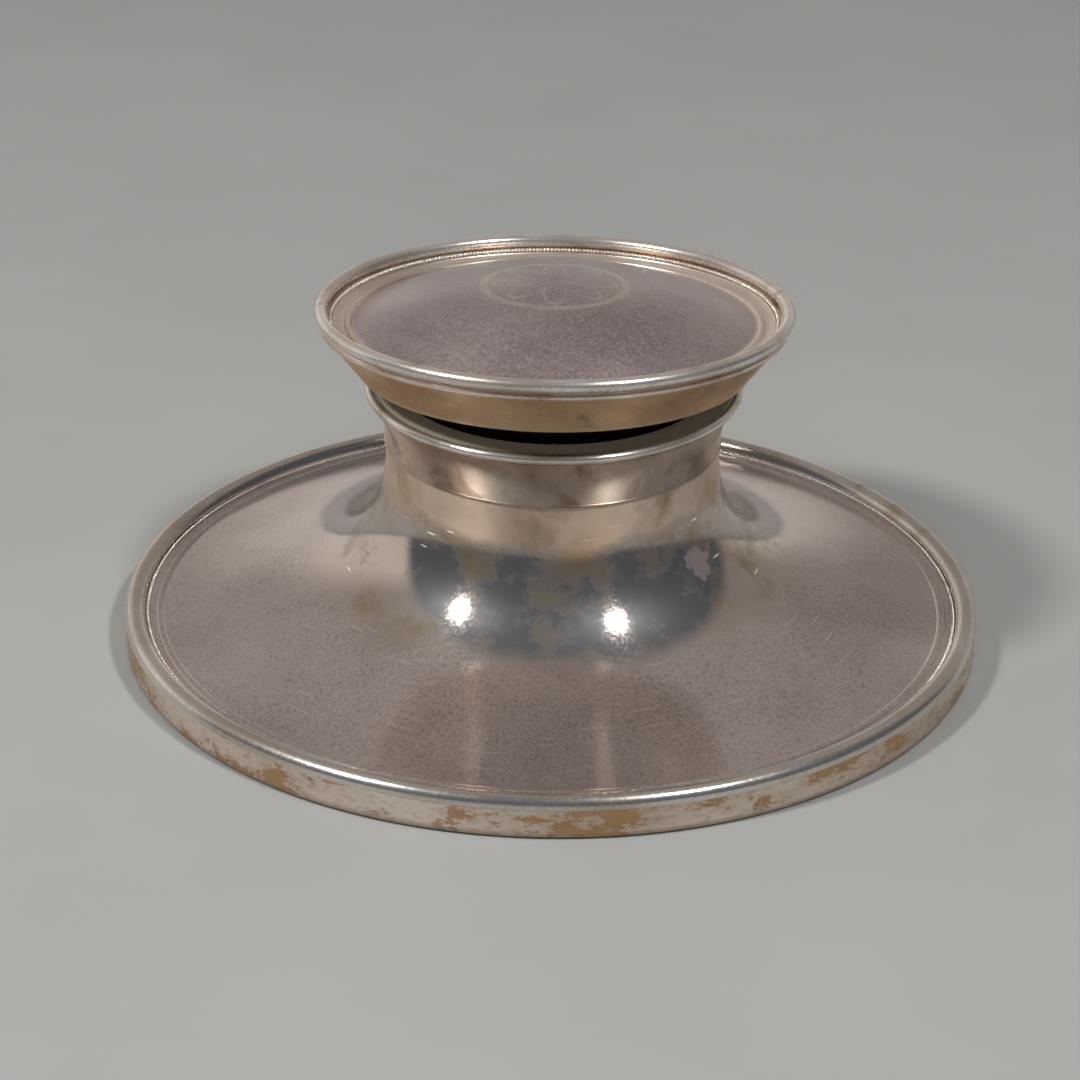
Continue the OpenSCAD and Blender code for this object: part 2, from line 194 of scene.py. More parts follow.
def turnedPiece(name, profile, onLid=False, steps=288, edge=0.08):
    # A closed profile of radius and height turned about the upright axis.
    profile = softened(profile, edge) if edge else list(profile)
    area = sum(p[0] * q[1] - q[0] * p[1] for p, q in zip(profile, profile[1:] + profile[:1]))
    if area < 0:
        profile.reverse()
    places, rings, lengths = [], [], [0]
    for k, (radius, height) in enumerate(profile):
        if k:
            lengths.append(lengths[-1] + math.dist(profile[k - 1], profile[k]))
        if radius < 1e-4:
            rings.append([len(places)] * steps)
            places.append(placed((0, 0, height), onLid))
            continue
        rings.append(list(range(len(places), len(places) + steps)))
        for j in range(steps):
            angle = 2 * math.pi * (j + 0.5) / steps
            places.append(placed((radius * math.sin(angle), radius * -math.cos(angle), height), onLid))
    lengths.append(lengths[-1] + math.dist(profile[-1], profile[0]))
    faces, unrolled = [], []
    for k in range(len(profile)):
        a, b = rings[k], rings[(k + 1) % len(profile)]
        if a[0] == a[1] and b[0] == b[1]:
            continue
        for j in range(steps):
            n = (j + 1) % steps
            corners = [(a[j], j, k), (a[n], j + 1, k), (b[n], j + 1, k + 1), (b[j], j, k + 1)]
            if a[0] == a[1]:
                corners.pop(1)
            if b[0] == b[1]:
                corners.pop(2)
            faces.append([c[0] for c in corners])
            unrolled += [(c[1] / steps, lengths[c[2]]) for c in corners]
    mesh = bpy.data.meshes.new(name)
    mesh.from_pydata(places, [], faces)
    mesh.uv_layers.new(name="turnAndLength").data.foreach_set("uv", [v for pair in unrolled for v in pair])
    mesh.shade_smooth()
    mesh.set_sharp_from_angle(angle=math.radians(40))
    piece = bpy.data.objects.new(name, mesh)
    scene.collection.objects.link(piece)
    return piece



# What the finishes share
def newMaterial(name):
    material = bpy.data.materials.new(name)
    material.use_nodes = True
    material.node_tree.nodes.clear()
    return material


def pointInMm(tree, onLid=False):
    # The surface point in millimetres, with the lid's pieces laid back flat.
    point = addNode(tree, "ShaderNodeTexCoord", out="Object")
    if onLid:
        shift = (hingePoint - untilt @ hingePoint) / 1000
        point = addNode(tree, "ShaderNodeMapping", {
            "Vector": point, "Location": shift, "Rotation": (math.radians(hinge["ajar"]), 0, 0)})
    return addNode(tree, "ShaderNodeVectorMath", {0: point, "Scale": 1000}, operation="SCALE")


def radiusOf(tree, point):
    flat = addNode(tree, "ShaderNodeVectorMath", {0: point, 1: (1, 1, 0)}, operation="MULTIPLY")
    return addNode(tree, "ShaderNodeVectorMath", {0: flat}, "Value", operation="LENGTH")


def wearMarks(tree, length, width, spacing, turn, amount=1, girth=220):
    # Short straight scratches of one direction on the unrolled skin: the amount on a scratch, 0 beside it.
    skin = addNode(tree, "ShaderNodeUVMap", uv_map="turnAndLength")
    laid = addNode(tree, "ShaderNodeVectorMath", {0: skin, 1: (girth, 1, 1)}, operation="MULTIPLY")
    turned = addNode(tree, "ShaderNodeMapping", {"Vector": laid, "Rotation": (0, 0, math.radians(turn)),
                                                 "Scale": (width / length / spacing, 1 / spacing, 1)})
    cell = addNode(tree, "ShaderNodeTexVoronoi", {"Vector": turned, "Scale": 1}, voronoi_dimensions="2D")
    number = addNode(tree, "ShaderNodeSeparateColor", {0: cell.node.outputs["Color"]})
    chosen = addNode(tree, "ShaderNodeMath", {0: number, 1: 0.38}, operation="GREATER_THAN")
    line = addNode(tree, "ShaderNodeMapRange", {0: cell, 1: width / spacing * 0.6, 2: width / spacing * 0.35,
                                                    4: amount})
    return addNode(tree, "ShaderNodeMath", {0: chosen, 1: line}, operation="MULTIPLY")


def spunLines(tree, point, pitch):
    # Fine rings left by the spinning tool: noise that changes only across the turning direction.
    height = addNode(tree, "ShaderNodeSeparateXYZ", {0: point}, "Z")
    across = addNode(tree, "ShaderNodeCombineXYZ", {0: radiusOf(tree, point), 1: height})
    drift = addNode(tree, "ShaderNodeVectorMath", {0: point, 1: (0.012, 0.012, 0), 2: across},
                    operation="MULTIPLY_ADD")
    return addNode(tree, "ShaderNodeTexNoise", {"Vector": drift, "Scale": 0.5 / pitch, "Detail": 3})


def silverSkin(material, colour, rough, metal, bumps, look):
    # Polished silver under a thin film of silver sulphide, which is dense and scatters a little. The
    # turning marks run round the object, so highlights stretch across them, up and down.
    tree = material.node_tree
    normal = None
    for height, depth in bumps:  # depths in millimetres
        raised = {"Height": height, "Distance": depth / 1000}
        if normal:
            raised["Normal"] = normal
        normal = addNode(tree, "ShaderNodeBump", raised)
    tangent = addNode(tree, "ShaderNodeTangent", direction_type="RADIAL", axis="Z")
    surface = addNode(tree, "ShaderNodeBsdfPrincipled", {
        "Base Color": colour, "Roughness": rough, "Metallic": metal, "Normal": normal, "Tangent": tangent,
        "Anisotropic": look["stretch"], "Anisotropic Rotation": 0.25, "Coat Weight": look["film"],
        "Coat Roughness": 0.42, "Coat IOR": 2.0})
    addNode(tree, "ShaderNodeOutputMaterial", {"Surface": surface})
    return material


oldSilver = {  # what every silver piece starts from, sizes in millimetres
    "clean": "#e6dfd7", "aged": "#c4b7a8", "stain": "#9c7f5a", "cloud": 8, "stainSize": 4, "stained": 0.42,
    "grain": 0.4, "grainDark": 0.12, "grainDepth": 0.002, "polish": 0.22, "dull": 0.34, "specks": 0.3, "hairs": 0.4,
    "metal": 0.8, "film": 0.5, "stretch": 0.7, "wave": 0.012, "spun": 0.006,
}


def agedSilver(name, look, onLid=False, zone=None):
    # Old silver: a warm cloudy film, brown stains, fine grain, dull specks and hair scratches. A zone
    # is a stretch of the piece, by radius or height, with another finish.
    look = {**oldSilver, **look}
    material = newMaterial(name)
    tree = material.node_tree
    point = pointInMm(tree, onLid)
    clouds = addNode(tree, "ShaderNodeTexNoise", {"Vector": point, "Scale": 0.5 / look["cloud"], "Detail": 6})
    clouds = addNode(tree, "ShaderNodeMapRange", {0: clouds, 1: 0.35, 2: 0.68})
    grain = addNode(tree, "ShaderNodeTexNoise", {"Vector": point, "Scale": 0.5 / look["grain"], "Detail": 3})
    stains = addNode(tree, "ShaderNodeTexNoise", {"Vector": point, "Scale": 0.5 / look["stainSize"], "Detail": 9,
                                                  "Distortion": 0.5})
    stains = addNode(tree, "ShaderNodeMapRange", {0: stains, 1: 1 - look["stained"], 2: 1.22 - look["stained"]})
    colour = addNode(tree, "ShaderNodeMix", {0: clouds, 6: look["clean"], 7: look["aged"]}, 2, data_type="RGBA")
    colour = addNode(tree, "ShaderNodeMix", {0: stains, 6: colour, 7: look["stain"]}, 2, data_type="RGBA")
    darker = addNode(tree, "ShaderNodeMapRange", {0: grain, 1: 0.3, 2: 0.7, 4: look["grainDark"]})
    colour = addNode(tree, "ShaderNodeMix", {0: darker, 6: colour, 7: "#000000"}, 2, data_type="RGBA")
    hairs = addNode(tree, "ShaderNodeMath", {0: wearMarks(tree, 3, 0.14, 2.2, 35, look["hairs"]),
                                             1: wearMarks(tree, 4, 0.12, 2.6, -20, look["hairs"])}, operation="MAXIMUM")
    colour = addNode(tree, "ShaderNodeMix", {0: hairs, 6: colour, 7: "#f6f1ea"}, 2, data_type="RGBA")
    rough = addNode(tree, "ShaderNodeMix", {0: clouds, 2: look["polish"], 3: look["dull"]})
    rough = addNode(tree, "ShaderNodeMath", {0: stains, 1: 0.12, 2: rough}, operation="MULTIPLY_ADD")
    specks = addNode(tree, "ShaderNodeMapRange", {0: grain, 1: 0.4, 2: 0.8, 4: look["specks"]})
    rough = addNode(tree, "ShaderNodeMix", {0: specks, 2: rough, 3: 0.55})
    metal = look["metal"]
    if zone:
        place = (radiusOf(tree, point) if zone["across"] == "radius"
                 else addNode(tree, "ShaderNodeSeparateXYZ", {0: point}, "Z"))
        inZone = addNode(tree, "ShaderNodeMapRange", {0: place, 1: zone["start"], 2: zone["stop"], 4: zone["amount"]})
        mottle = addNode(tree, "ShaderNodeMix", {0: grain, 6: zone["dark"], 7: zone["light"]}, 2, data_type="RGBA")
        colour = addNode(tree, "ShaderNodeMix", {0: inZone, 6: colour, 7: mottle}, 2, data_type="RGBA")
        rough = addNode(tree, "ShaderNodeMix", {0: inZone, 2: rough, 3: zone["rough"]})
        metal = addNode(tree, "ShaderNodeMix", {0: inZone, 2: metal, 3: zone["metal"]})
    wave = addNode(tree, "ShaderNodeTexNoise", {"Vector": point, "Scale": 0.1, "Detail": 2})
    bumps = ((wave, look["wave"]), (spunLines(tree, point, 0.35), look["spun"]), (grain, look["grainDepth"]))
    return silverSkin(material, colour, rough, metal, bumps, look)


# Base
bodySheet = {  # spun silver sheet of field, flare and neck
    "edgeRadius": 73.9, "borderIn": 68.2, "borderZ": 5.2, "ridgeWidth": 1.6, "ridgeHeight": 0.35,
    "fieldRun": 31, "fieldRise": 5.2, "waistRadius": 28.8, "waistZ": 36.2, "flareDrop": 17,
    "neckRadius": 31.75, "neckZ": 45.3, "sheet": 1,
    "field": "#c2b2ad", "fieldDark": "#a79692", "fieldLight": "#dccfc6", "fieldSpeck": "#6f605f",
    "flare": "#c9bab0", "film": "#93805f", "neck": "#e0cab6", "neckAged": "#bfa288", "straw": "#ab8c55",
    "stainPlace": (25, -19.5, 22), "stainTone": "#a48f96", "stretch": 0.8, "coatFilm": 0.5,
}
edgeRadius, borderIn, borderZ, waistRadius, waistZ, neckRadius, neckZ = (
    bodySheet[size] for size in ("edgeRadius", "borderIn", "borderZ", "waistRadius", "waistZ", "neckRadius", "neckZ"))
fieldLine = curve((borderIn, borderZ), (borderIn - bodySheet["fieldRun"], borderZ + bodySheet["fieldRise"]),
                  (waistRadius, waistZ - bodySheet["flareDrop"]), (waistRadius, waistZ), 90)
neckOut, neckUp = neckRadius - waistRadius, neckZ - waistZ
neckLine = curve((waistRadius, waistZ), (waistRadius, waistZ + 0.42 * neckUp),
                 (waistRadius + 0.25 * neckOut, waistZ + 0.78 * neckUp), (neckRadius, neckZ), 30)
# A low rounded ridge between the field and the milled wire
halfRidge, ridgeHeight = bodySheet["ridgeWidth"] / 2, bodySheet["ridgeHeight"]
ridgeBend = (halfRidge ** 2 + ridgeHeight ** 2) / (2 * ridgeHeight)
ridgeTurn = math.degrees(math.asin(halfRidge / ridgeBend))
borderRidge = arc((borderIn + halfRidge, borderZ + ridgeHeight - ridgeBend), ridgeBend,
                  90 - ridgeTurn, 90 + ridgeTurn, 14)
sheetTop = fieldLine + neckLine[1:]
sheetUnder = [p for p in beside(sheetTop[::3], bodySheet["sheet"])[1:] if p[1] < neckZ - 0.1]
sheetProfile = ([(edgeRadius, borderZ)] + borderRidge[:-1] + sheetTop + [(neckRadius - 1.25, neckZ)]
                + sheetUnder[::-1] + [(borderIn, borderZ - 1), (edgeRadius, borderZ - 1)])
sheetPiece = turnedPiece("spunBodySheet", sheetProfile, edge=0)


def spunSilverFinish():
    # Old silver plate, spun then worn. The field has gone mauve with a soft shine, the flare is
    # a mirror under a patchy brown film, and the neck is warm with straw-coloured stains.
    look = bodySheet
    material = newMaterial("spunSilverPlate")
    tree = material.node_tree
    point = pointInMm(tree)
    height = addNode(tree, "ShaderNodeSeparateXYZ", {0: point}, "Z")
    clouds = addNode(tree, "ShaderNodeTexNoise", {"Vector": point, "Scale": 0.055, "Detail": 6})
    fine = addNode(tree, "ShaderNodeTexNoise", {"Vector": point, "Scale": 1.7, "Detail": 3})
    broad = addNode(tree, "ShaderNodeMapRange", {0: clouds, 1: 0.3, 2: 0.7})
    uneven = addNode(tree, "ShaderNodeMath", {0: clouds, 1: 6.0, 2: height}, operation="MULTIPLY_ADD")
    onFlare = addNode(tree, "ShaderNodeMapRange", {0: uneven, 1: 14.8, 2: 18.5}, interpolation_type="SMOOTHSTEP")
    onNeck = addNode(tree, "ShaderNodeMapRange", {0: uneven, 1: 30.0, 2: 33.5}, interpolation_type="SMOOTHSTEP")
    # Field: mauve clouds with light and dark specks
    field = addNode(tree, "ShaderNodeMix", {0: broad, 6: look["field"], 7: look["fieldDark"]}, 2, data_type="RGBA")
    lightSpeck = addNode(tree, "ShaderNodeMapRange", {0: fine, 1: 0.4, 2: 0.75, 4: 0.4})
    field = addNode(tree, "ShaderNodeMix", {0: lightSpeck, 6: field, 7: look["fieldLight"]}, 2, data_type="RGBA")
    darkSpeck = addNode(tree, "ShaderNodeMapRange", {0: fine, 1: 0.46, 2: 0.25, 4: 0.5})
    field = addNode(tree, "ShaderNodeMix", {0: darkSpeck, 6: field, 7: look["fieldSpeck"]}, 2, data_type="RGBA")
    # Flare: the brown film is thickest in the middle and where the flare turns up into the neck
    film = addNode(tree, "ShaderNodeTexNoise", {"Vector": point, "Scale": 0.1, "Detail": 12, "Roughness": 0.68})
    belt = addNode(tree, "ShaderNodeMapRange", {0: height, 1: 21.0, 2: 28.0, 4: 0.06})
    film = addNode(tree, "ShaderNodeMath", {0: film, 1: belt}, operation="ADD")
    film = addNode(tree, "ShaderNodeMapRange", {0: film, 1: 0.49, 2: 0.62})
    flare = addNode(tree, "ShaderNodeMix", {0: film, 6: look["flare"], 7: look["film"]}, 2, data_type="RGBA")
    # Neck: warm clouds with veins of straw-coloured stain
    neck = addNode(tree, "ShaderNodeMix", {0: broad, 6: look["neck"], 7: look["neckAged"]}, 2, data_type="RGBA")
    straw = addNode(tree, "ShaderNodeTexNoise", {"Vector": point, "Scale": 0.12, "Detail": 12, "Roughness": 0.75})
    straw = addNode(tree, "ShaderNodeMapRange", {0: straw, 1: 0.5, 2: 0.66, 4: 0.75})
    neck = addNode(tree, "ShaderNodeMix", {0: straw, 6: neck, 7: look["straw"]}, 2, data_type="RGBA")
    colour = addNode(tree, "ShaderNodeMix", {0: onFlare, 6: field, 7: flare}, 2, data_type="RGBA")
    colour = addNode(tree, "ShaderNodeMix", {0: onNeck, 6: colour, 7: neck}, 2, data_type="RGBA")
    # A lumpy mauve stain on the right of the flare
    away = addNode(tree, "ShaderNodeVectorMath", {0: point, 1: look["stainPlace"]}, "Value", operation="DISTANCE")
    ragged = addNode(tree, "ShaderNodeTexNoise", {"Vector": point, "Scale": 0.4, "Detail": 6})
    away = addNode(tree, "ShaderNodeMath", {0: ragged, 1: 8.0, 2: away}, operation="MULTIPLY_ADD")
    stain = addNode(tree, "ShaderNodeMapRange", {0: away, 1: 7.2, 2: 6.4, 4: 0.42})
    colour = addNode(tree, "ShaderNodeMix", {0: stain, 6: colour, 7: look["stainTone"]}, 2, data_type="RGBA")
    # Hair scratches everywhere, short bare nicks on the flare
    hairs = addNode(tree, "ShaderNodeMath", {0: wearMarks(tree, 4, 0.13, 2.4, 40, 0.5),
                                             1: wearMarks(tree, 5, 0.11, 2.2, -15, 0.5)}, operation="MAXIMUM")
    colour = addNode(tree, "ShaderNodeMix", {0: hairs, 6: colour, 7: "#f6f1ea"}, 2, data_type="RGBA")
    nicks = addNode(tree, "ShaderNodeMath", {0: wearMarks(tree, 2.4, 0.32, 9, 12),
                                             1: wearMarks(tree, 2.0, 0.28, 8, 68)}, operation="MAXIMUM")
    nicks = addNode(tree, "ShaderNodeMath", {0: nicks, 1: onFlare}, operation="MULTIPLY")
    colour = addNode(tree, "ShaderNodeMix", {0: nicks, 6: colour, 7: "#fff3df"}, 2, data_type="RGBA")
    metal = addNode(tree, "ShaderNodeMix", {0: onFlare, 2: 0.76, 3: 0.94})
    metal = addNode(tree, "ShaderNodeMix", {0: onNeck, 2: metal, 3: 0.88})
    dull = addNode(tree, "ShaderNodeMath", {0: film, 1: onFlare}, operation="MULTIPLY")
    metal = addNode(tree, "ShaderNodeMath", {0: dull, 1: -0.26, 2: metal}, operation="MULTIPLY_ADD")
    metal = addNode(tree, "ShaderNodeMath", {0: nicks, 1: -0.5, 2: metal}, operation="MULTIPLY_ADD")
    metal = addNode(tree, "ShaderNodeMath", {0: stain, 1: -0.7, 2: metal}, operation="MULTIPLY_ADD")
    rough = addNode(tree, "ShaderNodeMix", {0: onFlare, 2: 0.08, 3: 0.07})
    rough = addNode(tree, "ShaderNodeMix", {0: onNeck, 2: rough, 3: 0.48})
    rough = addNode(tree, "ShaderNodeMath", {0: dull, 1: 0.04, 2: rough}, operation="MULTIPLY_ADD")
    specks = addNode(tree, "ShaderNodeMapRange", {0: fine, 1: 0.4, 2: 0.8, 4: 0.2})
    rough = addNode(tree, "ShaderNodeMix", {0: specks, 2: rough, 3: 0.5})
    wave = addNode(tree, "ShaderNodeTexNoise", {"Vector": point, "Scale": 0.07, "Detail": 2})
    bumps = ((wave, 0.03), (spunLines(tree, point, 0.4), 0.006), (stain, 0.12), (fine, 0.002))
    return silverSkin(material, colour, rough, metal, bumps, {"stretch": look["stretch"], "film": look["coatFilm"]})


finishPiece(sheetPiece, "body", "body_silver", spunSilverFinish(), "body_shell")

sideBand = {  # upright band round the base, darker towards its foot
    "outer": 75, "inner": 73.9, "low": 0.4, "high": 5.2,
    "clean": "#dccdbd", "aged": "#b59c84", "ochre": "#9d8248", "brown": "#9a6c40", "edgeBrown": "#6b5138",
}
sidePiece = turnedPiece("tarnishedSideBand", [
    (sideBand["inner"], sideBand["low"]), (sideBand["outer"], sideBand["low"]),
    (sideBand["outer"], sideBand["high"]), (sideBand["inner"], sideBand["high"])], edge=0.15)


def sideBandFinish():
    # Silver over copper, rubbed and tarnished: beige metal with ochre and brown patches torn along the band.
    look = sideBand
    material = newMaterial("tarnishedSilverOverCopper")
    tree = material.node_tree
    point = pointInMm(tree)
    height = addNode(tree, "ShaderNodeSeparateXYZ", {0: point}, "Z")
    along = addNode(tree, "ShaderNodeVectorMath", {0: point, 1: (0.45, 0.45, 1.0)}, operation="MULTIPLY")
    clouds = addNode(tree, "ShaderNodeTexNoise", {"Vector": along, "Scale": 0.06, "Detail": 8, "Roughness": 0.6})
    fine = addNode(tree, "ShaderNodeTexNoise", {"Vector": along, "Scale": 1.2, "Detail": 6})
    patch = addNode(tree, "ShaderNodeTexNoise", {"Vector": along, "Scale": 0.12, "Detail": 12, "Roughness": 0.74})
    tone = addNode(tree, "ShaderNodeMapRange", {0: clouds, 1: 0.35, 2: 0.65})
    colour = addNode(tree, "ShaderNodeMix", {0: tone, 6: look["clean"], 7: look["aged"]}, 2, data_type="RGBA")
    brown = addNode(tree, "ShaderNodeMapRange", {0: patch, 1: 0.53, 2: 0.545, 4: 0.85})
    colour = addNode(tree, "ShaderNodeMix", {0: brown, 6: colour, 7: look["brown"]}, 2, data_type="RGBA")
    ochre = addNode(tree, "ShaderNodeMapRange", {0: patch, 1: 0.575, 2: 0.59, 4: 0.85})
    colour = addNode(tree, "ShaderNodeMix", {0: ochre, 6: colour, 7: look["ochre"]}, 2, data_type="RGBA")
    # Darker towards the foot of the band, with a ragged upper edge
    foot = addNode(tree, "ShaderNodeMath", {0: clouds, 1: 1.5, 2: height}, operation="MULTIPLY_ADD")
    foot = addNode(tree, "ShaderNodeMapRange", {0: foot, 1: 2.1, 2: 1.2, 4: 0.6})
    colour = addNode(tree, "ShaderNodeMix", {0: foot, 6: colour, 7: look["edgeBrown"]}, 2, data_type="RGBA")
    pits = addNode(tree, "ShaderNodeMapRange", {0: fine, 1: 0.5, 2: 0.75, 4: 0.4})
    colour = addNode(tree, "ShaderNodeMix", {0: pits, 6: colour, 7: look["edgeBrown"]}, 2, data_type="RGBA")
    metal = addNode(tree, "ShaderNodeMapRange", {0: brown, 3: 0.7, 4: 0.4})
    rough = addNode(tree, "ShaderNodeMapRange", {0: fine, 1: 0.2, 2: 0.8, 3: 0.28, 4: 0.5})
    edge = addNode(tree, "ShaderNodeMath", {0: brown, 1: fine}, operation="SUBTRACT")
    return silverSkin(material, colour, rough, metal, ((edge, 0.02),), {"stretch": 0.4, "film": 0.3})


finishPiece(sidePiece, "body", "side_silver", sideBandFinish(), "base_side_wall")

edgeMoulding = {  # a moulding that is rubbed each time the base is handled, so it stays nearly a mirror
    "inner": 71.5, "width": 3.5, "foot": 5.2, "flat": 0.35,
    "clean": "#e0d8cf", "aged": "#bfb0a2", "stain": "#9c815a", "cloud": 10, "stainSize": 5,
    "polish": 0.16, "dull": 0.26, "wave": 0.015, "metal": 0.9, "stretch": 0.3,
}
mouldPiece = turnedPiece("edgeMoulding", [
    (edgeMoulding["inner"], edgeMoulding["foot"]), (edgeMoulding["inner"] + edgeMoulding["width"], edgeMoulding["foot"])]
    + arc((edgeMoulding["inner"] + edgeMoulding["width"] / 2, edgeMoulding["foot"] + edgeMoulding["flat"]),
          edgeMoulding["width"] / 2, 0, 180, 36), edge=0)
finishPiece(mouldPiece, "body", "edge_silver", agedSilver("polishedSilverMoulding", edgeMoulding), "base_edge_moulding")
print("base made")


# Milled wires: a wire rolled into a row of fine beads
def milledWireTree():
    tree = bpy.data.node_groups.new("milledWire", "GeometryNodeTree")
    face = tree.interface
    face.new_socket("Geometry", in_out="OUTPUT", socket_type="NodeSocketGeometry")
    for label, kind in (("Ring Radius", "Float"), ("Ring Height", "Float"), ("Bead Count", "Int"),
                        ("Bead Length", "Float"), ("Bead Width", "Float"), ("Bead Height", "Float"),
                        ("Wear", "Float"), ("Seed", "Int"), ("Finish", "Material")):
        face.new_socket(label, in_out="INPUT", socket_type="NodeSocket" + kind)
    given = addNode(tree, "NodeGroupInput").node.outputs
    circle = addNode(tree, "GeometryNodeCurvePrimitiveCircle", {"Radius": given["Ring Radius"], "Resolution": 512})
    lift = addNode(tree, "ShaderNodeCombineXYZ", {"Z": given["Ring Height"]})
    path = addNode(tree, "GeometryNodeTransform", {"Geometry": circle, "Translation": lift})
    spots = addNode(tree, "GeometryNodeResampleCurve", {"Curve": path, "Count": given["Bead Count"]})
    size = addNode(tree, "ShaderNodeCombineXYZ", {"X": given["Bead Length"], "Y": given["Bead Width"],
                                                  "Z": given["Bead Height"]})
    ball = addNode(tree, "GeometryNodeMeshUVSphere", {"Segments": 8, "Rings": 5, "Radius": 0.5})
    bead = addNode(tree, "GeometryNodeTransform", {"Geometry": ball, "Scale": size})
    along = addNode(tree, "GeometryNodeInputTangent")
    facing = addNode(tree, "FunctionNodeAlignRotationToVector", {"Vector": along}, axis="X", pivot_axis="Z")
    worn = addNode(tree, "ShaderNodeMath", {0: 1.0, 1: given["Wear"]}, operation="SUBTRACT")
    uneven = addNode(tree, "FunctionNodeRandomValue", {2: worn, 3: 1.0, "Seed": given["Seed"]}, 1)
    beads = addNode(tree, "GeometryNodeInstanceOnPoints", {
        "Points": spots, "Instance": bead, "Rotation": facing, "Scale": uneven})
    core = addNode(tree, "ShaderNodeMath", {0: given["Bead Width"], 1: 0.28}, operation="MULTIPLY")
    round8 = addNode(tree, "GeometryNodeCurvePrimitiveCircle", {"Radius": core, "Resolution": 8})
    strand = addNode(tree, "GeometryNodeCurveToMesh", {"Curve": path, "Profile Curve": round8})
    both = addNode(tree, "GeometryNodeJoinGeometry", {0: beads})
    tree.links.new(strand, both.node.inputs[0])
    real = addNode(tree, "GeometryNodeRealizeInstances", {"Geometry": both})
    smooth = addNode(tree, "GeometryNodeSetShadeSmooth", {"Geometry": real})
    clad = addNode(tree, "GeometryNodeSetMaterial", {"Geometry": smooth, "Material": given["Finish"]})
    addNode(tree, "NodeGroupOutput", {"Geometry": clad})
    return tree


def fromTree(name, tree, values, onLid=False):
    # Runs a geometry tree once and keeps its result as a plain mesh.
    carrier = bpy.data.objects.new(name + "Carrier", bpy.data.meshes.new(name + "Carrier"))
    scene.collection.objects.link(carrier)
    modifier = carrier.modifiers.new("tree", "NODES")
    modifier.node_group = tree
    for item in tree.interface.items_tree:
        if item.in_out == "INPUT" and item.name in values:
            modifier[item.identifier] = values[item.name]
    bpy.context.view_layer.update()
    seen = carrier.evaluated_get(bpy.context.evaluated_depsgraph_get())
    mesh = bpy.data.meshes.new_from_object(seen)
    carrier.modifiers.clear()
    bpy.data.objects.remove(carrier)
    mesh.name = name
    if onLid:
        pivot = Matrix.Translation(hingePoint / 1000)
        mesh.transform(pivot @ untilt.transposed().to_4x4() @ pivot.inverted())
    piece = bpy.data.objects.new(name, mesh)
    scene.collection.objects.link(piece)
    return piece

milledWires = {
    "pitch": 0.65,  # the real wire has beads of about 0.4 mm; drawn coarser, so that they show
    "baseRadius": 71.08, "baseZ": 5.3, "baseWidth": 0.8, "lidRadius": 38.2, "lidZ": 56.15, "lidWidth": 0.78,
}
beadSilver = agedSilver("milledSilverWire", {
    # Milled silver, bright on the beads' crowns and dark in the nicks
    "clean": "#f2ebe3", "aged": "#d0c3b4", "stain": "#8f7b60", "cloud": 6, "grain": 0.3, "stainSize": 3,
    "metal": 0.7, "wave": 0.004})
wireTree = milledWireTree()
for name, wireFor, body, nodeName in (("baseMilledWire", "base", "body", "base_milled_wire"),
                                      ("lidMilledWire", "lid", "lid", "lid_milled_wire")):
    radius, width = milledWires[wireFor + "Radius"], milledWires[wireFor + "Width"]
    wire = fromTree(name, wireTree, {
        "Ring Radius": radius / 1000, "Ring Height": milledWires[wireFor + "Z"] / 1000,
        "Bead Count": round(2 * math.pi * radius / milledWires["pitch"]),
        "Bead Length": milledWires["pitch"] * 1.05 / 1000, "Bead Width": width / 1000,
        "Bead Height": width * 0.9 / 1000, "Wear": 0.06, "Seed": 7, "Finish": beadSilver}, onLid=body == "lid")
    finishPiece(wire, body, "milled_silver", beadSilver, nodeName)
print("milled wires made")


# Neck collar, mouth ring and cup
mouth = {"collarOut": 0.3, "beadRadius": 0.85, "openingRadius": 26.8, "beadMiddle": (31.75, 46.15),
         "ledge": [(30.75, 46.53), (30.4, 46.53), (27.15, 46.93), (26.8, 46.68)],
         "cupRadius": 27.6, "cupInside": 26.8, "cupFoot": 3, "cupFloor": 3.8}
collarOutside = beside(neckLine, -mouth["collarOut"])
reed = arc((collarOutside[0][0] - 0.02, collarOutside[0][1] + 0.3), 0.16, -90, 90, 8)
collarProfile = (neckLine + [(neckRadius + 0.36, neckZ)]
                 + [p for p in collarOutside[:-1] if p[1] > reed[-1][1] + 0.1][::-1]
                 + reed[::-1] + [(collarOutside[0][0] - 0.02, collarOutside[0][1])])
collarPiece = turnedPiece("neckCollar", collarProfile, edge=0)
finishPiece(collarPiece, "body", "mouth_silver", agedSilver("agedSilverCollar", {
    # Warm old silver, less rubbed than the flare, with brownish clouds
    "clean": "#f0dcc8", "aged": "#b99a80", "stain": "#86664a", "cloud": 6, "stainSize": 3.5, "stained": 0.46,
    "polish": 0.4, "dull": 0.5, "stretch": 1.0, "metal": 0.9}), "neck_collar")

mouthPiece = turnedPiece("mouthRing", [
    (mouth["openingRadius"], neckZ), (neckRadius, neckZ)]
    + arc(mouth["beadMiddle"], mouth["beadRadius"], -90, 125, 30) + mouth["ledge"], edge=0.12)
finishPiece(mouthPiece, "body", "mouth_silver", agedSilver("agedSilverMouth", {
    # The bead is rubbed bright
    "clean": "#eee5da", "aged": "#cdbca8", "stain": "#9e865e", "cloud": 5, "stainSize": 3, "polish": 0.15,
    "dull": 0.25}, zone={
    # The ledge inside it is dull and dusty, and its pale colour is partly painted light, brightening a ledge that the
    # lid shades
    "across": "radius", "start": 31.0, "stop": 30.7, "amount": 1, "dark": "#b0a38b", "light": "#e2d6bf",
    "rough": 0.42, "metal": 0.25}), "mouth_ring")

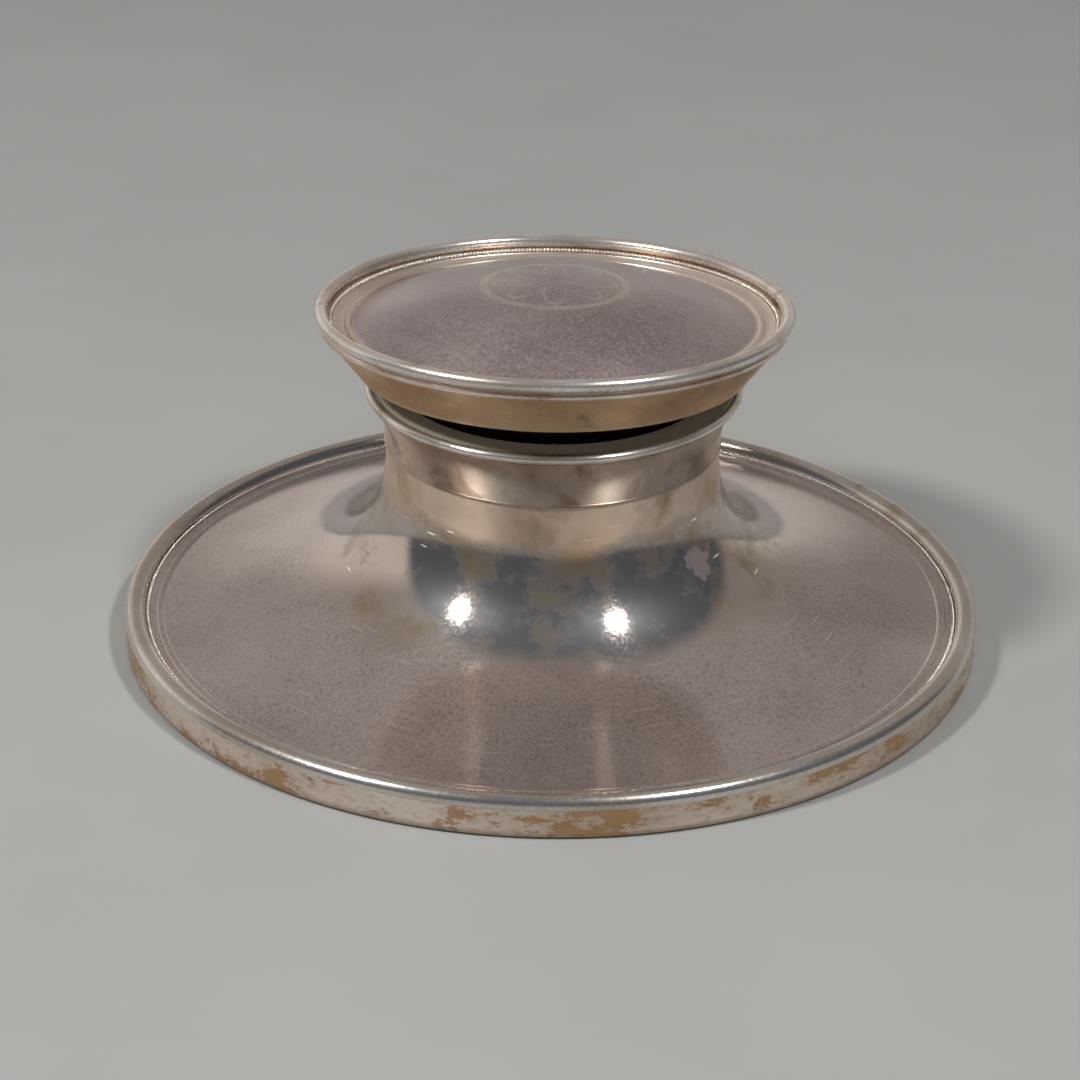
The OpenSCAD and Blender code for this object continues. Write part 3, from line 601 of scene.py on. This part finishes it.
giltLook = {  # fire-gilt silver: yellow, slightly worn, with ink-brown specks
    "clean": "#e0ba70", "aged": "#bf934e", "stain": "#6b4a2a", "stained": 0.4, "grain": 0.5, "grainDark": 0.1,
    "polish": 0.2, "dull": 0.34, "metal": 0.9, "stretch": 0.4, "wave": 0.02, "grainDepth": 0.003,
}
cupPiece = turnedPiece("giltCup", [
    (0, mouth["cupFoot"]), (mouth["cupRadius"], mouth["cupFoot"]), (mouth["cupRadius"], neckZ),
    (mouth["cupInside"], neckZ), (mouth["cupInside"], mouth["cupFloor"]), (0, mouth["cupFloor"])],
    steps=192, edge=0.15)
finishPiece(cupPiece, "body", "cup_gilt", agedSilver("giltSheetCup", giltLook), "well_cup")
print("neck and mouth made")


# Lid
lid = {
    "footRadius": 33.6, "footZ": 47.25, "topRadius": 39.4, "topZ": 54.7, "wall": 0.887,
    "ridgeMiddle": (39.5, 55.5), "ridgeRadius": 0.8, "ridgeIn": 38.513, "ridgeTop": 56.3,
    "rimRadius": 39.95, "rimZ": 57.35, "rimWire": 1.15,
    "domeRadius": 34.3, "domeZ": 55.4, "domeRise": 7, "sheet": 0.7,
    "edgeBead": (35.3, 55.15), "edgeBeadRadius": 0.6, "channelOut": 37.81, "plateEdge": 55.85,
}
wallPiece = turnedPiece("lidWall", [
    (lid["footRadius"] - lid["wall"], lid["footZ"]), (lid["footRadius"], lid["footZ"]),
    (lid["topRadius"], lid["topZ"]), (lid["topRadius"] - lid["wall"], lid["topZ"])], onLid=True, edge=0.1)
finishPiece(wallPiece, "lid", "lid_wall_silver", agedSilver("goldenBrownSilver", {
    # Silver worn to its warm golden brown
    "clean": "#f4cf9e", "aged": "#b98a5c", "stain": "#80532f", "cloud": 9, "grain": 0.35, "grainDark": 0.15,
    "polish": 0.4, "dull": 0.5, "stretch": 1.0, "metal": 0.92, "wave": 0.02}, True, zone={
    # and a lighter band along its lower edge
    "across": "height", "start": 48.2, "stop": 47.4, "amount": 0.7, "dark": "#cdb48a", "light": "#f0dcb8",
    "rough": 0.3, "metal": 0.75}), "lid_wall")

seatPiece = turnedPiece("lidSeatRing", [(30.9, 47.25), (32.71, 47.25), (33.26, 47.95), (30.9, 47.95)], onLid=True,
                        steps=192, edge=0.1)
finishPiece(seatPiece, "lid", "lid_wall_silver", agedSilver("dullSilverSeat", {
    # The face that closes on the mouth: dull, darkened where it isn't rubbed
    "clean": "#b3a795", "aged": "#91826e", "stain": "#6b573f", "cloud": 5, "stainSize": 3, "stained": 0.45,
    "grainDark": 0.2, "polish": 0.3, "dull": 0.42, "grainDepth": 0.003}, True), "lid_seat_ring")

ridgePiece = turnedPiece("lidRidgeWire", [(lid["ridgeIn"], lid["topZ"])]
                         + arc(lid["ridgeMiddle"], lid["ridgeRadius"], -90, 90, 24)
                         + [(lid["ridgeIn"], lid["ridgeTop"])], onLid=True, edge=0)
finishPiece(ridgePiece, "lid", "rim_silver", agedSilver("warmSilverRidge", {
    # The wire below the rim, less rubbed and warmer
    "clean": "#ecd8c4", "aged": "#c8a48a", "stain": "#946e51", "cloud": 6, "stainSize": 3, "stained": 0.45,
    "polish": 0.18, "dull": 0.3, "metal": 0.8}, True), "lid_ridge_wire")
rimSilver = agedSilver("rubbedSilverRim", {
    # Wire that fingers lift the lid by, rubbed to a soft shine, brown in the hollows
    "clean": "#eee7df", "aged": "#cfbfae", "stain": "#a58467", "cloud": 7, "stainSize": 3, "polish": 0.18,
    "dull": 0.3, "metal": 0.8, "stretch": 0.3}, True)


def roundWireTree():
    tree = bpy.data.node_groups.new("roundWire", "GeometryNodeTree")
    face = tree.interface
    face.new_socket("Geometry", in_out="OUTPUT", socket_type="NodeSocketGeometry")
    for label, kind in (("Ring Radius", "Float"), ("Ring Height", "Float"), ("Wire Radius", "Float"),
                        ("Steps", "Int"), ("Steps Across", "Int"), ("Finish", "Material")):
        face.new_socket(label, in_out="INPUT", socket_type="NodeSocket" + kind)
    given = addNode(tree, "NodeGroupInput").node.outputs
    circle = addNode(tree, "GeometryNodeCurvePrimitiveCircle", {"Radius": given["Ring Radius"],
                                                                "Resolution": given["Steps"]})
    lift = addNode(tree, "ShaderNodeCombineXYZ", {"Z": given["Ring Height"]})
    path = addNode(tree, "GeometryNodeTransform", {"Geometry": circle, "Translation": lift})
    across = addNode(tree, "GeometryNodeCurvePrimitiveCircle", {"Radius": given["Wire Radius"],
                                                                "Resolution": given["Steps Across"]})
    wire = addNode(tree, "GeometryNodeCurveToMesh", {"Curve": path, "Profile Curve": across})
    smooth = addNode(tree, "GeometryNodeSetShadeSmooth", {"Geometry": wire})
    real = addNode(tree, "GeometryNodeRealizeInstances", {"Geometry": smooth})
    clad = addNode(tree, "GeometryNodeSetMaterial", {"Geometry": real, "Material": given["Finish"]})
    addNode(tree, "NodeGroupOutput", {"Geometry": clad})
    return tree


rimPiece = fromTree("lidRimWire", roundWireTree(), {
    "Ring Radius": lid["rimRadius"] / 1000, "Ring Height": lid["rimZ"] / 1000, "Wire Radius": lid["rimWire"] / 1000,
    "Steps": 288, "Steps Across": 36, "Finish": rimSilver}, onLid=True)
finishPiece(rimPiece, "lid", "rim_silver", rimSilver, "lid_rim_wire")

ballRadius = (lid["domeRadius"] ** 2 + lid["domeRise"] ** 2) / (2 * lid["domeRise"])
ballZ = lid["domeZ"] + lid["domeRise"] - ballRadius
edgeTurn = math.degrees(math.asin(lid["domeRadius"] / ballRadius))
beadOut = lid["edgeBead"][0] + lid["edgeBeadRadius"]
span = lid["channelOut"] - beadOut
domeProfile = (
    arc((0, ballZ), ballRadius, 90, 90 - edgeTurn, 48)
    + arc(lid["edgeBead"], lid["edgeBeadRadius"], 180, 0, 18)
    + curve((beadOut, lid["edgeBead"][1]), (beadOut + span / 3, lid["edgeBead"][1] - 0.25),
            (lid["channelOut"], lid["plateEdge"] - 0.25), (lid["channelOut"], lid["plateEdge"]), 12)[1:]
    + [(lid["ridgeIn"], lid["plateEdge"]), (lid["ridgeIn"], lid["plateEdge"] - 1.05), (34.7, lid["edgeBead"][1] - 0.7)]
    + arc((0, ballZ), ballRadius - lid["sheet"], 91.5 - edgeTurn, 90, 20))
domeProfile[0] = (0, domeProfile[0][1])
domeProfile[-1] = (0, domeProfile[-1][1])
domePiece = turnedPiece("domePlate", domeProfile, onLid=True, edge=0)

engraving = {"ringOut": 12.9, "ringIn": 11.5, "petals": 8, "petalIn": 4, "petalOut": 10.5, "line": 0.35,
             "tone": "#c3bda9"}
domeLook = {"satin": "#b5a4a1", "satinDark": "#988789", "light": "#e4d8cf", "dark": "#6f6064", "warm": "#e2d3c4",
            "warmDark": "#c4b09d", "stretch": 0.4, "film": 0.6}


def domeFinish():
    # Satin silver gone mauve-grey, fine-grained like frost, with a plain engraved ring and rosette.
    look = domeLook
    material = newMaterial("satinMauveSilver")
    tree = material.node_tree
    point = pointInMm(tree, True)
    radius = radiusOf(tree, point)
    clouds = addNode(tree, "ShaderNodeTexNoise", {"Vector": point, "Scale": 0.055, "Detail": 6})
    fine = addNode(tree, "ShaderNodeTexNoise", {"Vector": point, "Scale": 1.6, "Detail": 4, "Roughness": 0.7})
    broad = addNode(tree, "ShaderNodeMapRange", {0: clouds, 1: 0.35, 2: 0.65})
    satin = addNode(tree, "ShaderNodeMix", {0: broad, 6: look["satin"], 7: look["satinDark"]}, 2, data_type="RGBA")
    lightSpeck = addNode(tree, "ShaderNodeMapRange", {0: fine, 1: 0.5, 2: 0.75, 4: 0.5})
    satin = addNode(tree, "ShaderNodeMix", {0: lightSpeck, 6: satin, 7: look["light"]}, 2, data_type="RGBA")
    darkSpeck = addNode(tree, "ShaderNodeMapRange", {0: fine, 1: 0.48, 2: 0.25, 4: 0.6})
    satin = addNode(tree, "ShaderNodeMix", {0: darkSpeck, 6: satin, 7: look["dark"]}, 2, data_type="RGBA")
    # The ring, and eight petals whose outline is a wave round the middle
    ringMiddle = (engraving["ringIn"] + engraving["ringOut"]) / 2
    fromRing = addNode(tree, "ShaderNodeMath", {0: radius, 1: ringMiddle}, operation="SUBTRACT")
    fromRing = addNode(tree, "ShaderNodeMath", {0: fromRing}, operation="ABSOLUTE")
    ring = addNode(tree, "ShaderNodeMapRange", {0: fromRing, 1: engraving["ringOut"] - ringMiddle + 0.15,
                                                2: engraving["ringOut"] - ringMiddle - 0.15})
    across = addNode(tree, "ShaderNodeSeparateXYZ", {0: point})
    turn = addNode(tree, "ShaderNodeMath", {0: across.node.outputs["Y"], 1: across}, operation="ARCTAN2")
    turn = addNode(tree, "ShaderNodeMath", {0: turn, 1: engraving["petals"] / 2}, operation="MULTIPLY")
    wave = addNode(tree, "ShaderNodeMath", {0: turn}, operation="COSINE")
    wave = addNode(tree, "ShaderNodeMath", {0: wave}, operation="ABSOLUTE")
    outline = addNode(tree, "ShaderNodeMath", {0: wave, 1: engraving["petalOut"] - engraving["petalIn"],
                                               2: engraving["petalIn"]}, operation="MULTIPLY_ADD")
    fromPetal = addNode(tree, "ShaderNodeMath", {0: radius, 1: outline}, operation="SUBTRACT")
    fromPetal = addNode(tree, "ShaderNodeMath", {0: fromPetal}, operation="ABSOLUTE")
    petals = addNode(tree, "ShaderNodeMapRange", {0: fromPetal, 1: engraving["line"] + 0.2, 2: engraving["line"] - 0.1})
    engraved = addNode(tree, "ShaderNodeMath", {0: ring, 1: petals}, operation="MAXIMUM")
    worn = addNode(tree, "ShaderNodeTexNoise", {"Vector": point, "Scale": 0.3, "Detail": 6})
    worn = addNode(tree, "ShaderNodeMapRange", {0: worn, 1: 0.3, 2: 0.65, 3: 0.35, 4: 0.85})
    cut = addNode(tree, "ShaderNodeMath", {0: engraved, 1: worn}, operation="MULTIPLY")
    colour = addNode(tree, "ShaderNodeMix", {0: cut, 6: satin, 7: engraving["tone"]}, 2, data_type="RGBA")
    # The beaded edge and the channel outside it are warmer and smoother
    outside = addNode(tree, "ShaderNodeMapRange", {0: radius, 1: 34.2, 2: 34.6})
    warm = addNode(tree, "ShaderNodeMix", {0: broad, 6: look["warm"], 7: look["warmDark"]}, 2, data_type="RGBA")
    colour = addNode(tree, "ShaderNodeMix", {0: outside, 6: colour, 7: warm}, 2, data_type="RGBA")
    rough = addNode(tree, "ShaderNodeMapRange", {0: fine, 1: 0.3, 2: 0.7, 3: 0.3, 4: 0.5})
    rough = addNode(tree, "ShaderNodeMath", {0: outside, 1: -0.05, 2: rough}, operation="MULTIPLY_ADD")
    low = addNode(tree, "ShaderNodeMath", {0: 1.0, 1: cut}, operation="SUBTRACT")
    return silverSkin(material, colour, rough, 0.8, ((low, 0.03), (fine, 0.006)), look)


finishPiece(domePiece, "lid", "dome_silver", domeFinish(), "lid_dome_plate")

liningPiece = turnedPiece("giltLining", [
    (0, 55.0), (27.2, 55.0), (30.1, 47.95), (33.26, 47.95), (33.26, 48.65), (30.7, 48.65), (27.8, 55.7), (0, 55.7)],
    onLid=True, steps=192, edge=0.4)
finishPiece(liningPiece, "lid", "lining_gilt", agedSilver("giltSheetLining", giltLook, True), "lid_lining")
print("lid made")


# Hinge
def hingeCopy(name, nodeName, body, material, bevel):
    mesh = nodes[nodeName].data.copy()
    mesh.name = name
    work = bmesh.new()
    work.from_mesh(mesh)
    bmesh.ops.remove_doubles(work, verts=work.verts, dist=1e-6)
    bmesh.ops.dissolve_limit(work, angle_limit=math.radians(1), verts=work.verts, edges=work.edges)
    work.to_mesh(mesh)
    work.free()
    mesh.shade_smooth()
    mesh.set_sharp_from_angle(angle=math.radians(35))
    piece = bpy.data.objects.new(name, mesh)
    scene.collection.objects.link(piece)
    rounding = piece.modifiers.new("rubbedEdges", "BEVEL")
    rounding.width = bevel / 1000
    rounding.segments = 2
    rounding.limit_method = "ANGLE"
    rounding.angle_limit = math.radians(40)
    return finishPiece(piece, body, "hinge_silver", material, nodeName)


hingeLook = {  # cast silver hinge: bright where it turns, dark in its joints
    "clean": "#dad1c5", "aged": "#ae9e8d", "stain": "#7b6550", "cloud": 3, "grain": 0.3, "stainSize": 2,
    "stained": 0.46, "grainDark": 0.2, "polish": 0.18, "dull": 0.32, "stretch": 0.0, "wave": 0.006, "spun": 0.0,
    "grainDepth": 0.003,
}
hingeSilver = agedSilver("castSilverHinge", hingeLook)
lidHingeSilver = agedSilver("castSilverHingeLid", hingeLook, True)
pinNickel = agedSilver("nickelHingePin", {
    # A drawn nickel-silver pin, greyer than the knuckles
    **hingeLook, "clean": "#c2beb6", "aged": "#9a958c", "stain": "#6e6355", "cloud": 2, "grain": 0.2,
    "stainSize": 1.5})
for name, nodeName, body, material, bevel in (
        ("bodyHingeLeaf", "body_hinge_bearer", "body", hingeSilver, 0.12),
        ("leftKnuckle", "hinge_knuckle_left", "body", hingeSilver, 0.12),
        ("rightKnuckle", "hinge_knuckle_right", "body", hingeSilver, 0.12),
        ("hingePinWire", "hinge_pin", "body", pinNickel, 0.06),
        ("lidHingeLeaf", "lid_hinge_bearer", "lid", lidHingeSilver, 0.12),
        ("middleKnuckle", "hinge_knuckle_middle", "lid", lidHingeSilver, 0.12)):
    hingeCopy(name, nodeName, body, material, bevel)
print("hinge made")


# Ink pot
pot = {"radius": 25, "inside": 22.2, "throat": 20.6, "lip": 26.3, "lipTop": 46.1, "lipLow": 43.9, "foot": 3.8,
       "floor": 7.8}
potProfile = ([(0, pot["foot"]), (24, pot["foot"])] + arc((24, pot["foot"] + 1), 1, -90, 0, 8)[1:]
              + [(pot["radius"], 42.6), (pot["lip"], pot["lipLow"])]
              + arc((pot["lip"] - 0.8, pot["lipTop"] - 0.8), 0.8, 0, 90, 10)
              + arc((pot["throat"] + 0.9, pot["lipTop"] - 0.9), 0.9, 90, 180, 10)
              + [(pot["throat"], pot["lipLow"]), (pot["inside"], pot["lipLow"] - 4)]
              + arc((pot["inside"] - 3, pot["floor"] + 3), 3, 0, -90, 16) + [(0, pot["floor"])])
potPiece = turnedPiece("glassInkPot", potProfile, steps=192, edge=0.3)


def glassFinish():
    # Pressed soda glass: clear, faintly green, a little wavy, with patches of dried ink film.
    material = newMaterial("pressedSodaGlass")
    tree = material.node_tree
    point = pointInMm(tree)
    film = addNode(tree, "ShaderNodeTexNoise", {"Vector": point, "Scale": 0.17, "Detail": 7, "Distortion": 0.5})
    film = addNode(tree, "ShaderNodeMapRange", {0: film, 1: 0.52, 2: 0.7})
    colour = addNode(tree, "ShaderNodeMix", {0: film, 6: "#f4faf6", 7: "#c6d2cc"}, 2, data_type="RGBA")
    rough = addNode(tree, "ShaderNodeMapRange", {0: film, 3: 0.02, 4: 0.14})
    wave = addNode(tree, "ShaderNodeTexNoise", {"Vector": point, "Scale": 0.08, "Detail": 2})
    normal = addNode(tree, "ShaderNodeBump", {"Height": wave, "Distance": 0.00008})
    surface = addNode(tree, "ShaderNodeBsdfPrincipled", {
        "Base Color": colour, "Roughness": rough, "Normal": normal, "Transmission Weight": 1.0, "IOR": 1.52})
    addNode(tree, "ShaderNodeOutputMaterial", {"Surface": surface})
    return material


finishPiece(potPiece, "ink_pot", "pot_glass", glassFinish(), "glass_ink_pot")


# Underside and floor: dull stuffs whose look is one pattern, its two colours and its relief
dullStuffs = {
    "base_board": {
        # Stained softwood turned flat: straight grain with darker late wood, 1.5 mm between rings
        "name": "stainedPineBoard", "size": 0.75, "stretch": (1, 0.06, 1), "detail": 6, "distort": 0.4,
        "light": "#7b5534", "dark": "#4b301c", "worn": "#8a6544", "rough": 0.62, "relief": 0.05},
    "baize_pad": {
        # Woollen baize: short felted nap of 0.3 mm tufts, worn paler in patches
        "name": "greenWoolBaize", "size": 0.3, "stretch": (1, 1, 1), "detail": 5, "distort": 0,
        "light": "#48693f", "dark": "#2c4a2f", "worn": "#6b7a58", "rough": 0.95, "relief": 0.12},
    "base_loading": {
        # Cast plaster of Paris, chalky, with pinholes of half a millimetre
        "name": "plasterOfParis", "size": 0.5, "stretch": (1, 1, 1), "detail": 4, "distort": 0,
        "light": "#dedad0", "dark": "#b8b2a6", "worn": "#cfc9bd", "rough": 0.9, "relief": 0.1},
    "floor": {
        # A pale painted table top, faintly mottled
        "name": "paleTableTop", "size": 30, "stretch": (1, 1, 1), "detail": 5, "distort": 0,
        "light": studio["floor"], "dark": studio["floorMottle"], "worn": studio["floor"], "rough": 0.6,
        "relief": 0.0},
}


def dullFinish(stuff):
    material = newMaterial(stuff["name"])
    tree = material.node_tree
    point = pointInMm(tree)
    laid = addNode(tree, "ShaderNodeVectorMath", {0: point, 1: stuff["stretch"]}, operation="MULTIPLY")
    pattern = addNode(tree, "ShaderNodeTexNoise", {"Vector": laid, "Scale": 0.5 / stuff["size"],
                                                   "Detail": stuff["detail"], "Distortion": stuff["distort"]})
    tone = addNode(tree, "ShaderNodeMapRange", {0: pattern, 1: 0.32, 2: 0.65})
    colour = addNode(tree, "ShaderNodeMix", {0: tone, 6: stuff["light"], 7: stuff["dark"]}, 2, data_type="RGBA")
    worn = addNode(tree, "ShaderNodeTexNoise", {"Vector": point, "Scale": 0.04, "Detail": 5})
    worn = addNode(tree, "ShaderNodeMapRange", {0: worn, 1: 0.5, 2: 0.7, 4: 0.5})
    colour = addNode(tree, "ShaderNodeMix", {0: worn, 6: colour, 7: stuff["worn"]}, 2, data_type="RGBA")
    normal = addNode(tree, "ShaderNodeBump", {"Height": pattern, "Distance": stuff["relief"] / 1000})
    surface = addNode(tree, "ShaderNodeBsdfPrincipled", {"Base Color": colour, "Roughness": stuff["rough"],
                                                         "Normal": normal})
    addNode(tree, "ShaderNodeOutputMaterial", {"Surface": surface})
    return material


for nodeName in ("base_board", "baize_pad", "base_loading"):
    nodes[nodeName].data.materials.clear()
    nodes[nodeName].data.materials.append(dullFinish(dullStuffs[nodeName]))
studioFloor.data.materials.append(dullFinish(dullStuffs["floor"]))
print("pot, underside and floor made")
